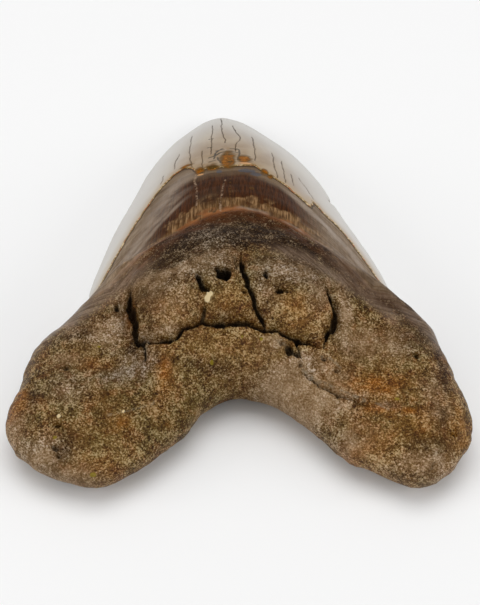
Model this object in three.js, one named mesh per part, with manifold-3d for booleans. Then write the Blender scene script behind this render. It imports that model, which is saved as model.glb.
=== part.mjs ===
// Fossil shark tooth in one piece: a broad two-lobed root and a triangular crown.
// It lies on its flat outer face. Z is up, the crown points along +Y and X runs across the root.
// Lengths are millimetres. In the plan, y is counted from the front of the root lobes.
import * as THREE from 'three';
import { mergeVertices } from 'three/addons/utils/BufferGeometryUtils.js';
import Module from 'manifold-3d';

const wasm = await Module();
wasm.setup();
const { smoothstep, clamp, lerp } = THREE.MathUtils;

// Driving sizes
const rootWidth = 108;
const toothLength = 132;
const rootHeight = 29.5;
const lobeHeight = 12;
const crownHeight = 28.6;
const rootRimHeight = 7.5;
const crownRimHeight = 4.2;
const tipHeight = 3.6;
const underHollow = 0.4;

// Plan outline, four edges that share their end points, drawn near full size and stretched at the end
// to the exact width and length above
const leftEdge = [
  [-51, 7], [-53.5, 12], [-54, 18], [-52, 25], [-51.5, 30], [-50.5, 34.5], [-45, 42.5], [-38.5, 51],
  [-39, 58.5], [-36.5, 70], [-33.5, 82], [-29.5, 94], [-25.5, 106.5], [-19.5, 118.5], [-12.5, 127],
];
const rightEdge = [
  [51, 6.5], [53.5, 12], [53.5, 18], [51.5, 26], [49.5, 33], [47.5, 41], [42.5, 50], [39, 56.5],
  [36.5, 67], [32, 78], [27, 89.5], [22, 102], [15, 114], [6.5, 123.5], [1, 128.5],
];
const lobeEdge = [
  [-51, 7], [-46.5, 3.5], [-41.5, 1], [-36.5, -0.5], [-30.5, -0.5], [-24.5, 2.5], [-18.5, 7.5],
  [-12.5, 13], [-8.5, 19.5], [-1.5, 24], [6.5, 22.5], [13, 17.5], [18.5, 12], [24.5, 6], [31, 3],
  [37, -0.5], [43, -0.5], [47.5, 2.5], [51, 6.5],
];
const tipEdge = [[-12.5, 127], [-9.5, 129.5], [-5.5, 131], [-2, 130], [1, 128.5]];

// The neck, where the root's form gives way to the crown's, and the furrow along the upper end of the
// rough bone: two arches that fall towards both shoulders
const neck = { x: -1, y: 64, drop: 13, halfWidth: 38, power: 1.7 };
const boneEnd = { x: 3, y: 66, drop: 26, halfWidth: 35, power: 1.7 };
const furrow = { pastBone: 3, spread: 3.2, depth: 0.7, rimRadius: 9, fadeFrom: 28, fadeTo: 36 };
const shoulder = { from: 42, to: 62 };

// The root's swelling, and where the crown's ridge starts and ends
const swelling = { x: -1, y: 50, halfWidth: 31, halfLength: 20.5 };
const ridge = { from: 52, to: 131 };

// Rounded rims
const rootRimRadius = 9.5;
const underRimRadius = 8;
const tipRimRadius = 5;
const tipLift = 2.2;

// Low swells and shallow valleys of the root: place, spread and rise
const swells = [
  { x: -40, y: 16, spreadX: 9, spreadY: 10, rise: 0.8 },
  { x: 40, y: 15, spreadX: 9, spreadY: 10, rise: 0.7 },
  { x: -27, y: 33, spreadX: 6, spreadY: 9, rise: -1.2 },
  { x: 27, y: 31, spreadX: 6, spreadY: 8, rise: -1 },
  { x: -16, y: 38, spreadX: 6, spreadY: 5, rise: 0.6 },
  { x: -3, y: 39, spreadX: 4, spreadY: 4, rise: 0.4 },
  { x: 12, y: 38, spreadX: 6, spreadY: 5, rise: 0.7 },
];

// Three blocks stand a little proud above the long cross crack
const blocks = { left: -25.5, right: 21.5, fadeFrom: 42, fadeTo: 51, rise: 1 };

// Cracks in the root: the plan route, then the width and depth at the surface
const crossCrack = [
  [-24, 30.5], [-19, 30], [-15, 30.5], [-12.5, 32], [-8.5, 33], [-4.5, 32.5], [0, 33],
  [4, 32], [9, 31], [13, 30], [18.5, 29],
];
const cracks = [
  { route: crossCrack, width: 1.3, depth: 2.6 },
  { route: [[-26.5, 41.5], [-25.5, 37], [-25, 34.5], [-24.5, 32], [-24, 30.5]], width: 1.7, depth: 3 },
  { route: [[18.5, 29], [20, 29.5], [20.5, 32], [22, 34], [22.5, 36.5], [21, 42]], width: 1.2, depth: 2.2 },
  { route: [[0, 48], [1, 45.5], [2, 42], [3, 38.5], [4, 35], [5, 32.5]], width: 1.5, depth: 2.4 },
  { route: [[-10.5, 43.5], [-9, 41], [-7.5, 38.5]], width: 1.3, depth: 2 },
  { route: [[-7.8, 37], [-8.5, 35], [-8.5, 33]], width: 1, depth: 1.6 },
  { route: [[-22.5, 30.5], [-22, 28.5], [-22.5, 26.5]], width: 0.9, depth: 1.2 },
  { route: [[13, 30.5], [13.5, 28.5], [14, 26]], width: 0.9, depth: 1.2 },
  { route: [[20, 20], [22, 19], [24.5, 18], [27, 17], [29.5, 16.5]], width: 0.8, depth: 0.9 },
];

// Holes: the nutrient opening first, then pits left where bone has gone
const holes = [
  { x: -4, y: 43.5, radius: 1.3, depth: 4 },
  { x: 6, y: 42.5, radius: 0.7, depth: 1.6 },
  { x: 9, y: 40.5, radius: 0.9, depth: 1.4 },
  { x: -29, y: 40, radius: 0.7, depth: 1.4 },
  { x: 10.5, y: 28, radius: 1.6, depth: 1.1 },
  { x: -41, y: 10.5, radius: 1, depth: 1.4 },
  { x: -41, y: 5.5, radius: 0.8, depth: 1.2 },
  { x: -40.5, y: 24.5, radius: 0.9, depth: 1 },
  { x: 41, y: 22.5, radius: 0.7, depth: 1 },
  { x: 25.5, y: 93, radius: 1.1, depth: 3 },
];

// Fineness of the faceted surface
const columns = 50;
const rows = 58;
const outlineSteps = 90;
const rimCrowding = 0.6;
const holeSides = 8;

const edgeCurve = (points) => new THREE.SplineCurve(points.map(([x, y]) => new THREE.Vector2(x, y)));
const left = edgeCurve(leftEdge);
const right = edgeCurve(rightEdge);
const lobes = edgeCurve(lobeEdge);
const tip = edgeCurve(tipEdge);

// A point of the plan from its place across (u) and along (v), blended from the four edges
function planPoint(u, v) {
  const blended = new THREE.Vector2();
  blended.addScaledVector(lobes.getPointAt(u), 1 - v);
  blended.addScaledVector(tip.getPointAt(u), v);
  blended.addScaledVector(left.getPointAt(v), 1 - u);
  blended.addScaledVector(right.getPointAt(v), u);
  blended.addScaledVector(left.getPointAt(0), -(1 - u) * (1 - v));
  blended.addScaledVector(right.getPointAt(0), -u * (1 - v));
  blended.addScaledVector(left.getPointAt(1), -(1 - u) * v);
  blended.addScaledVector(right.getPointAt(1), -u * v);
  return blended;
}

const outline = [lobes, right, tip, left].flatMap((curve) => curve.getSpacedPoints(outlineSteps));

function distanceToSegment(point, start, end) {
  const along = end.clone().sub(start);
  const reach = point.clone().sub(start);
  const share = clamp(reach.dot(along) / Math.max(along.lengthSq(), 1e-9), 0, 1);
  return reach.addScaledVector(along, -share).length();
}

function distanceToRim(point) {
  let nearest = Infinity;
  for (let i = 1; i < outline.length; i += 1) {
    if (i % (outlineSteps + 1) === 0) continue;
    nearest = Math.min(nearest, distanceToSegment(point, outline[i - 1], outline[i]));
  }
  return nearest;
}

// Quarter-round rise from 0 at the rim to 1 at the given radius
function rounded(distance, radius) {
  const share = clamp(distance / radius, 0, 1);
  return Math.sqrt(1 - (1 - share) ** 2);
}

function pastArch(point, arch) {
  return point.y - arch.y + arch.drop * Math.abs((point.x - arch.x) / arch.halfWidth) ** arch.power;
}

function rimHeight(y) {
  const rootToCrown = lerp(rootRimHeight, crownRimHeight, smoothstep(y, shoulder.from, shoulder.to));
  return rootToCrown - smoothstep(y, 90, 128);
}

// Height of the crown's ridge: level under the neck, then falling to the tip in one long curve
function ridgeHeight(y) {
  const along = clamp((y - ridge.from) / (ridge.to - ridge.from), 0, 1);
  return tipHeight + (crownHeight - tipHeight) * (1 - along) ** 1.25 * (1 + 0.96 * along);
}

function crossCrackY(x) {
  const next = crossCrack.findIndex((point) => point[0] > x);
  if (next < 1) return crossCrack.at(next)[1];
  const [fromX, fromY] = crossCrack[next - 1];
  const [toX, toY] = crossCrack[next];
  return lerp(fromY, toY, (x - fromX) / (toX - fromX));
}

function blockRise(x, y) {
  const step = (value, at) => smoothstep(value, at - 0.8, at + 0.8);
  const across = step(x, blocks.left) - step(x, blocks.right);
  const fade = 1 - smoothstep(y, blocks.fadeFrom, blocks.fadeTo);
  return blocks.rise * across * step(y, crossCrackY(x)) * fade;
}

function swellRise(x, y) {
  return swells.reduce((sum, { x: atX, y: atY, spreadX, spreadY, rise }) =>
    sum + rise * Math.exp(-(((x - atX) / spreadX) ** 2) - ((y - atY) / spreadY) ** 2), 0);
}

function rootTop(x, y, distance) {
  const lobe = lobeHeight + 4 * smoothstep(y, 2, 34);
  const fallX = Math.abs((x - swelling.x) / swelling.halfWidth) ** 2.5;
  const fallY = Math.abs((y - swelling.y) / swelling.halfLength) ** 2.4;
  const middle = (rootHeight - lobeHeight - 4) * Math.exp(-fallX - fallY);
  const rim = rimHeight(y);
  return rim + (lobe + middle + swellRise(x, y) + blockRise(x, y) - rim) * rounded(distance, rootRimRadius);
}

function crownTop(y, distance, across) {
  const rim = rimHeight(y);
  const tipRim = lerp(1, rounded(distance, tipRimRadius), smoothstep(y, 112, 126));
  return rim + (ridgeHeight(y) - rim) * (1 - Math.abs(across) ** 2.2) * tipRim;
}

function furrowDepth(point, distance) {
  const across = Math.exp(-(((pastArch(point, boneEnd) - furrow.pastBone) / furrow.spread) ** 2));
  const fade = 1 - smoothstep(Math.abs(point.x - boneEnd.x), furrow.fadeFrom, furrow.fadeTo);
  return furrow.depth * across * fade * rounded(distance, furrow.rimRadius);
}

const crownShare = (point) => smoothstep(pastArch(point, neck), -5, 4);

function topHeight(point, u) {
  const distance = distanceToRim(point);
  const crown = crownTop(point.y, distance, 2 * u - 1);
  const smooth = lerp(rootTop(point.x, point.y, distance), crown, crownShare(point));
  return smooth - furrowDepth(point, distance);
}

// The resting face is level; its rim turns up all round and the tip lifts clear of it
function underHeight(point) {
  const rim = rimHeight(point.y);
  const lift = tipLift * smoothstep(point.y, 88, 130);
  const turn = rounded(distanceToRim(point), underRimRadius + 6 * crownShare(point));
  return Math.max(rim - (rim - lift) * turn - underHollow, 0);
}

const crowded = (share) => lerp(share, (1 - Math.cos(Math.PI * share)) / 2, rimCrowding);

// Plan places of the rim's corners, counter-clockwise, as shares across and along
function rimPlaces() {
  const places = [];
  for (let i = 0; i < columns; i += 1) places.push([crowded(i / columns), 0]);
  for (let j = 0; j < rows; j += 1) places.push([1, crowded(j / rows)]);
  for (let i = columns; i > 0; i -= 1) places.push([crowded(i / columns), 1]);
  for (let j = rows; j > 0; j -= 1) places.push([0, crowded(j / rows)]);
  return places;
}

// The rings of the under face, each as its share in from the sides, the lobes and the tip
const rings = [
  [0, 0, 0], [0.015, 0.01, 0.015], [0.04, 0.03, 0.05],
  [0.08, 0.06, 0.11], [0.12, 0.09, 0.21], [0.14, 0.11, 0.33],
];

function toothSurface() {
  const positions = [];
  const faces = [];
  for (let j = 0; j <= rows; j += 1) {
    for (let i = 0; i <= columns; i += 1) {
      const [u, v] = [crowded(i / columns), crowded(j / rows)];
      const point = planPoint(u, v);
      const onRim = i === 0 || j === 0 || i === columns || j === rows;
      positions.push(point.x, point.y, onRim ? rimHeight(point.y) : topHeight(point, u));
    }
  }
  const width = columns + 1;
  for (let j = 0; j < rows; j += 1) {
    for (let i = 0; i < columns; i += 1) {
      const corner = j * width + i;
      faces.push(corner, corner + 1, corner + width + 1, corner, corner + width + 1, corner + width);
    }
  }
  const ringStart = positions.length / 3;
  const places = rimPlaces();
  const count = places.length;
  const ringPoints = rings.map(([side, front, back]) =>
    places.map(([u, v]) => planPoint(side + (1 - 2 * side) * u, front + (1 - front - back) * v)));
  ringPoints.forEach((points, ring) => points.forEach((point) =>
    positions.push(point.x, point.y, ring === 0 ? rimHeight(point.y) : underHeight(point))));
  for (let ring = 0; ring + 1 < rings.length; ring += 1) {
    const outer = ringStart + ring * count;
    const inner = outer + count;
    for (let k = 0; k < count; k += 1) {
      const next = (k + 1) % count;
      faces.push(outer + k, inner + k, inner + next, outer + k, inner + next, outer + next);
    }
  }
  const lastRing = ringStart + (rings.length - 1) * count;
  THREE.ShapeUtils.triangulateShape(ringPoints.at(-1), []).forEach(([a, b, c]) =>
    faces.push(lastRing + a, lastRing + c, lastRing + b));
  return geometryOf(positions, faces);
}

function geometryOf(positions, faces) {
  const geometry = new THREE.BufferGeometry();
  geometry.setAttribute('position', new THREE.Float32BufferAttribute(positions, 3));
  geometry.setIndex(faces);
  return geometry;
}

// A wedge that follows a crack: wide above the surface, sharp at the bottom, fading at its ends
function crackWedge({ route, width, depth }) {
  const above = 1.5;
  const curve = edgeCurve(route);
  const steps = 2 * (route.length - 1);
  const positions = [];
  const faces = [];
  for (let i = 0; i <= steps; i += 1) {
    const point = curve.getPointAt(i / steps);
    const along = curve.getTangentAt(i / steps);
    const fade = i === 0 || i === steps ? 0.35 : 1;
    const surface = rootTop(point.x, point.y, distanceToRim(point));
    const half = 0.5 * width * fade * (1 + above / (depth * fade));
    positions.push(point.x - along.y * half, point.y + along.x * half, surface + above);
    positions.push(point.x + along.y * half, point.y - along.x * half, surface + above);
    positions.push(point.x, point.y, surface - depth * fade);
  }
  for (let i = 0; i < steps; i += 1) {
    for (let side = 0; side < 3; side += 1) {
      const near = 3 * i + side;
      const turned = 3 * i + (side + 1) % 3;
      faces.push(near, turned, turned + 3, near, turned + 3, near + 3);
    }
  }
  faces.push(0, 2, 1, 3 * steps, 3 * steps + 1, 3 * steps + 2);
  return geometryOf(positions, faces);
}

function holeCutter({ x, y, radius, depth }) {
  const above = 2;
  const point = new THREE.Vector2(x, y);
  const surface = pastArch(point, neck) > 0 ? rimHeight(y) : rootTop(x, y, distanceToRim(point));
  const cutter = new THREE.CylinderGeometry(radius * 1.2, radius * 0.6, depth + above, holeSides);
  cutter.rotateX(Math.PI / 2);
  cutter.translate(x, y, surface + (above - depth) / 2);
  cutter.deleteAttribute('normal');
  cutter.deleteAttribute('uv');
  return cutter;
}

function solidOf(geometry) {
  const merged = mergeVertices(geometry, 1e-5);
  return new wasm.Manifold(new wasm.Mesh({
    numProp: 3,
    vertProperties: new Float32Array(merged.attributes.position.array),
    triVerts: new Uint32Array(merged.index.array),
  }));
}

function carvedTooth() {
  const cutters = [...cracks.map(crackWedge), ...holes.map(holeCutter)];
  const carved = cutters.reduce((solid, cutter) => solid.subtract(solidOf(cutter)), solidOf(toothSurface()));
  const { vertProperties, triVerts } = carved.getMesh();
  return geometryOf(vertProperties, Array.from(triVerts));
}

const fossil = new THREE.MeshStandardMaterial({ color: '#715838', roughness: 0.6, metalness: 0 });
const tooth = new THREE.Mesh(carvedTooth(), fossil);
tooth.name = 'tooth';

// Stretch the plan to the driving width and length, with the origin in the middle of the tooth's box,
// on the surface that it lies on
tooth.geometry.computeBoundingBox();
const drawn = tooth.geometry.boundingBox;
const middle = drawn.getCenter(new THREE.Vector3());
const drawnSize = drawn.getSize(new THREE.Vector3());
tooth.geometry.translate(-middle.x, -middle.y, -drawn.min.z);
tooth.geometry.scale(rootWidth / drawnSize.x, toothLength / drawnSize.y, 1);

const part = new THREE.Group();
part.add(tooth);
export default part;
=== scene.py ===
"""A fossil shark tooth that lies on its flat outer face, seen from above its root.

The tooth is one fine mesh. Its plan is blended from four outline curves, its heights come from a few
formulas, and its cracks, pits and worn relief are carved into the same surface. Plan places are in
millimetres, with y counted from the front of the root lobes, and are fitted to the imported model's box.
"""
import math

import bpy
import numpy as np
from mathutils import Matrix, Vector


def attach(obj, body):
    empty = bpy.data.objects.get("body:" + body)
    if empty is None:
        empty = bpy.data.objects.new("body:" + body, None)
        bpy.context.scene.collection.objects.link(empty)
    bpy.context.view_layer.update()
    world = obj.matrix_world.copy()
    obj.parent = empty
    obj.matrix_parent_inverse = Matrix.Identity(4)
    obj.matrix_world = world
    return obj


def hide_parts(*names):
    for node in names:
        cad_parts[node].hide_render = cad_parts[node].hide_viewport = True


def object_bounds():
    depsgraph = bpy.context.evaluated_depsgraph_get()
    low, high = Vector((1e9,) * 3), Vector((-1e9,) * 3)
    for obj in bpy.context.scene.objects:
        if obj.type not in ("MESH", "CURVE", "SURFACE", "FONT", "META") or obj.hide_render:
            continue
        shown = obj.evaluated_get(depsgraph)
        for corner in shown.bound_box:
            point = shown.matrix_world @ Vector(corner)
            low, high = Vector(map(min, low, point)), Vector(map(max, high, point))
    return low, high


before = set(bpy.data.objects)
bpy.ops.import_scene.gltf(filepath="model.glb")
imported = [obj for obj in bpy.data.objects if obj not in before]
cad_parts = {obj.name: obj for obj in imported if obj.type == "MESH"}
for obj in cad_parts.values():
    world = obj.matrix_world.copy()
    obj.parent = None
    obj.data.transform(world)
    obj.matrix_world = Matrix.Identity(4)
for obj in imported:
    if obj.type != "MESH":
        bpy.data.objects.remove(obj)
cad_low, cad_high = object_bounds()

MM = 0.001

# Heights and rims of the tooth
ROOT_HEIGHT = 29.5
LOBE_HEIGHT = 12
LOBE_RISE = 4
CROWN_HEIGHT = 28.6
ROOT_RIM_HEIGHT = 7.5
CROWN_RIM_HEIGHT = 4.2
TIP_HEIGHT = 3.6
TIP_LIFT = 2.2
UNDER_HOLLOW = 0.4
ROOT_RIM_RADIUS = 9.5
UNDER_RIM_RADIUS = 8
UNDER_CROWN_WIDENING = 6
TIP_RIM_RADIUS = 5

# Spans of y over which the form changes: the lobes rise, the rim falls, the tip thins and gets round
LOBE_SLOPE = (2, 34)
RIM_FALL = (42, 62)
TIP_THINNING = (90, 128)
TIP_ROUNDING = (112, 126)
UNDER_TIP_LIFTING = (88, 130)

# The root's broad middle: its centre, its spread and the powers of its fall in x and y
ROOT_CENTRE = (-1, 50)
ROOT_SPREAD = (31, 20.5)
ROOT_FALL = (2.5, 2.4)

# The crown's ridge: where it starts and ends, the powers of its fall and of its section, its fullness
RIDGE_START = 52
RIDGE_END = 131
RIDGE_POWER = 1.25
RIDGE_FULLNESS = 0.96
CROWN_POWER = 2.2

# Plan outline: four edges that share their end points
LEFT_EDGE = [
    (-51, 7), (-53.5, 12), (-54, 18), (-51.8, 25), (-51.2, 30), (-50, 34.3), (-47.4, 38.3), (-43.5, 42.2),
    (-37.8, 51), (-38.7, 58.5), (-36.5, 70), (-33.5, 82), (-29.5, 94), (-25.5, 106.5), (-19.5, 118.5),
    (-12.5, 127),
]
RIGHT_EDGE = [
    (51, 6.5), (53.5, 12), (53.5, 18), (51.5, 26), (49.6, 33), (48, 40), (45.7, 43.8), (42.4, 50.1),
    (39.7, 56.6), (36.5, 67), (32, 78), (27, 89.5), (22, 102), (15, 114), (6.5, 123.5), (1, 128.5),
]
LOBE_EDGE = [
    (-51, 7), (-46.5, 3.5), (-41.5, 1), (-36.5, -0.5), (-30.5, -0.5), (-24.5, 2.5), (-18.5, 7.5),
    (-12.5, 13), (-8.5, 19.5), (-1.5, 24), (6.5, 22.5), (13, 17.5), (18.5, 12), (24.5, 6), (31, 3),
    (37, -0.5), (43, -0.5), (47.5, 2.5), (51, 6.5),
]
TIP_EDGE = [(-12.5, 127), (-9.5, 129.5), (-5.5, 131), (-2, 130), (1, 128.5)]

# Arches across the tooth: centre, height of the arch's top, its drop at the half width, its power
NECK = (-1, 64, 13, 38, 1.7)
BONE_END = (0, 66.5, 26, 35, 1.7)
UNDER_BONE_END = (0, 52, 6, 38, 2)
ARCH_REACH = 1.7
ARCH_POINTS = 160

# How far before and past the neck the root turns into the crown, and the width of the under side's band
NECK_SPAN = (-5, 4)
UNDER_BAND_WIDTH = 4

# Below this place the edges of the tooth are bone
SHOULDER = 45

# Where the dark band ends and pale enamel starts, from the left shoulder over the crown to the right
ENAMEL_EDGE = [
    (-39.5, 48), (-37, 53), (-34.5, 59.5), (-31.5, 66.5), (-28, 74), (-24.5, 81.5), (-21, 88.5),
    (-18, 93), (-15, 94.5), (-12.8, 92.5), (-11.3, 89), (-9, 90.5), (-6.5, 90), (-3.5, 90.5), (0, 91.5),
    (4, 92), (8, 87.5), (12, 84.5), (15, 81), (18.5, 77.5), (19.5, 83), (22, 79.5), (26.5, 75.5),
    (30, 69.5), (33.5, 63), (36.5, 57), (39.5, 49),
]

# Smooth satin streaks of the upper root, whose lighter grey is painted sheen: route and half width
SATIN_STREAKS = [
    ([(2, 51), (10, 50.5), (16.5, 49), (24, 46.8), (31, 43), (37, 38.5), (41, 35)], 2.4),
    ([(16, 53.5), (22, 52), (27, 49.8), (32.5, 46.3), (38, 43), (42.5, 39.6), (46, 35), (49, 28)], 2.8),
    ([(-17, 51.5), (-22, 49.5), (-27, 47), (-33, 43.5), (-39, 40), (-45, 34)], 3.6),
]

# Light satin streaks of the dark band as painted sheen, and painted highlights along the lip: route and
# half width
BAND_STREAKS = [
    ([(-11.5, 83), (-13.5, 81), (-17, 77), (-20, 72), (-23.5, 68.5), (-27, 64), (-31, 57)], 1.7),
    ([(-11, 78), (-14, 75.5), (-18, 71), (-21.5, 67), (-25.5, 62), (-29, 56), (-33, 50)], 0.9),
    ([(9, 83.5), (14, 78.8), (18, 74.3), (22.5, 71), (27, 66.5), (30.5, 61), (33.5, 55)], 1.5),
    ([(-9, 93), (-13, 90), (-16, 86), (-19, 80.5), (-22, 74.5), (-25, 67)], 2.8),
    ([(-2, 68.4), (1, 68.4), (4, 67.8), (8, 66.4)], 0.8),
    ([(10, 64.6), (13, 63), (16, 61)], 0.6),
]

# The flanks of the tooth: their middle line, and how far from it they start and are full
FLANK_MIDDLE = -3
FLANK_SPAN = (15, 27)

# Low swells and shallow valleys of the root: x, y, spread in x, spread in y, rise
SWELLS = [
    (-40, 16, 9, 10, 0.8), (40, 15, 9, 10, 0.7), (-27, 33, 6, 9, -1.2), (27, 31, 6, 8, -1),
    (-16, 38, 6, 5, 0.6), (-3, 39, 4, 4, 0.4), (12, 38, 6, 5, 0.7),
]

# Blocks that stand proud above the cross crack: left and right end, rise, softness, fade in y
BLOCK_LEFT = -25.5
BLOCK_RIGHT = 21.5
BLOCK_RISE = 1
BLOCK_EDGE = 0.5
BLOCK_FADE = (42, 51)

# Cracks in the root: route, width and depth
CROSS_CRACK = [
    (-24, 30.5), (-19, 30), (-15, 30.5), (-12.5, 32), (-8.5, 33), (-4.5, 32.5), (0, 33), (4, 32), (9, 31),
    (13, 30), (18.5, 29),
]
CRACKS = [
    (CROSS_CRACK, 0.75, 2.4),
    (CROSS_CRACK[3:], 1.15, 3.6),
    (CROSS_CRACK[1:5], 1.1, 3.2),
    ([(-25, 30.6)] + CROSS_CRACK[:3], 0.95, 2.6),
    ([(-26.1, 43), (-26, 40.5), (-25.2, 37), (-24.7, 34), (-24, 30.5), (-23.7, 29.6)], 1.5, 3.6),
    ([(19.8, 29), (20.2, 31.5), (21.3, 33.3), (22.3, 35), (22.4, 37.5), (21.5, 40),
       (20.6, 42.5)], 1.35, 3),
    ([(0, 48.5), (0.4, 45.5), (1.2, 42.5), (2.4, 39.5), (3.2, 37), (4, 35), (5.2, 33.2),
       (6.4, 31.8)], 1.1, 3),
    ([(-1.6, 48), (-1.1, 45.5), (-0.3, 43.5)], 0.6, 1.2),
    ([(-10.1, 42.8), (-8.9, 40.8), (-7.4, 38.8)], 1.6, 2.6),
    ([(-8, 36.2), (-8.4, 34.8), (-8.6, 33)], 1.5, 1.6),
    ([(-22.5, 30.5), (-22, 28.5), (-22.5, 26)], 0.9, 1.8),
    ([(12.6, 30), (13.5, 28), (14, 26)], 0.8, 1.6),
    ([(14.5, 23.6), (18.5, 20.5), (22, 18.7), (24.5, 17.6), (27, 16.8), (30.5, 15.5)], 0.7, 1.3),
]

# The share of a crack left at its ends, and the wear beside cracks and blocks as depth and spread
CRACK_END_SHARE = 0.35
CRACK_WEAR = (0.12, 1.2)
BLOCK_WEAR = (1.5, 1.1)

# Shallow troughs beside the cracks: route, half width and depth
TROUGHS = [
    ([(-27.6, 43), (-27.3, 39), (-26.6, 35), (-25.2, 31)], 1.8, 1.2),
    ([(-1.4, 48.5), (-0.8, 45), (0.4, 41.5), (1.6, 38.5)], 1.3, 0.7),
    ([(22, 42), (22.8, 38), (22.8, 35), (21.2, 31.5)], 1.1, 0.9),
]

# Holes and pits: x, y, radius, depth
HOLES = [
    (-3.7, 42.4, 1.75, 4.8), (-5.3, 43.8, 0.8, 2.4), (6.1, 42.6, 0.95, 2.2), (9.2, 39.2, 1.05, 2.4),
    (10.6, 39.2, 0.6, 1.6), (0.7, 38.3, 0.75, 1.8), (-29, 39.5, 0.85, 2), (11.3, 28, 1.3, 1.8),
    (12.8, 27.1, 1, 1.6), (9.4, 29, 0.5, 1), (19.3, 26, 0.7, 1.2), (14.2, 25, 0.6, 1),
    (-41, 10.5, 0.9, 1.6), (-41.5, 5.5, 0.8, 1.4), (-40.5, 24.5, 0.9, 1.4), (-40.7, 4, 0.6, 1),
    (22.5, 23.6, 0.6, 1), (41.5, 28.3, 0.8, 1.4), (48, 9, 0.6, 1), (43, 1.2, 0.6, 0.8),
]
EDGE_NICK = (25.5, 93, 1.1)
NICK_DEPTH = 0.7

# Small pits scattered over the bone: how many, their spans, radii, and depth as a share of the radius
PIT_COUNT = 170
PIT_SPAN_X = (-52, 52)
PIT_SPAN_Y = (0, 50)
PIT_RADII = (0.25, 0.6)
PIT_DEPTH = 0.8
PIT_WINDOW = 1.5

# Fine dark cracks in the pale enamel
HAIRLINES = [
    [(-5.5, 130), (-5, 119.5), (-4, 108.5)], [(-8, 124), (-8, 115.5), (-8, 107.5), (-8, 100)],
    [(-2, 124), (-1, 118), (0, 113), (-1, 107), (-1, 101.5)], [(3.5, 115.5), (4, 106), (4, 95.5)],
    [(-13.5, 117.5), (-14, 110.5), (-13.5, 98.5), (-12.5, 92)],
    [(-10.5, 103.5), (-10, 96.5), (-10, 90.5)], [(-17, 106.5), (-17.5, 101.5), (-18, 96.5)],
    [(-21, 96), (-21.5, 91)], [(9, 105.5), (9.5, 96), (10, 87)], [(11.5, 101.5), (12, 94), (12, 86)],
    [(14, 94), (14.5, 86.5)], [(16, 94.5), (18, 89.5), (19.5, 85)],
]

# Dark crossing marks over the amber spots, and light lines in the dark band
CROSS_MARKS = [
    [(-6.6, 98.5), (-5, 100.6), (-3.2, 101.4), (-0.6, 100.6)], [(-6.8, 96), (-6.6, 100), (-4.6, 103.6)],
    [(-0.4, 95), (-0.2, 99), (0, 103), (-2.6, 103.6)], [(-6.4, 102), (-4.2, 102.6)],
    [(-9, 105), (-7.6, 105.3)], [(-8.6, 112), (-7.6, 112.3)], [(-8.6, 97), (-6.8, 98)],
    [(-8.4, 94), (-6.4, 95)], [(-2.6, 103.6), (-0.6, 103.2)], [(-6, 97), (-5.2, 93)],
]
LIGHT_LINES = [
    [(-4, 82.5), (-4.5, 77), (-4.8, 71), (-5, 67)],
    [(-11.8, 88), (-11.5, 82), (-11, 76), (-11, 71)],
]

# Thin pale veins in the bone
VEINS = [
    [(-30, 13), (-28, 13.5), (-26.5, 14), (-24, 14.5), (-21, 15.5), (-19.5, 16.5)],
    [(28, 17), (30, 16.5), (32, 15.5), (34.5, 14)],
    [(14, 24.5), (18, 21.5), (22, 19.7), (26, 18), (29, 16.8)], [(8, 29.5), (10, 29), (12, 28), (13, 26)],
    [(19, 26.5), (21.5, 26), (23.5, 24.5)],
]

# Fine lines: routes, seed of their waver, and the distances where their colour starts and is full
FINE_LINES = {
    "hairline": (HAIRLINES, 31, 0.26, 0.06),
    "cross_mark": (CROSS_MARKS, 37, 0.42, 0.12),
    "light_line": (LIGHT_LINES, 33, 0.4, 0.1),
    "vein": (VEINS, 35, 0.5, 0.1),
}

# The distance that is given where no fine line runs
FAR = 9.0

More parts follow.
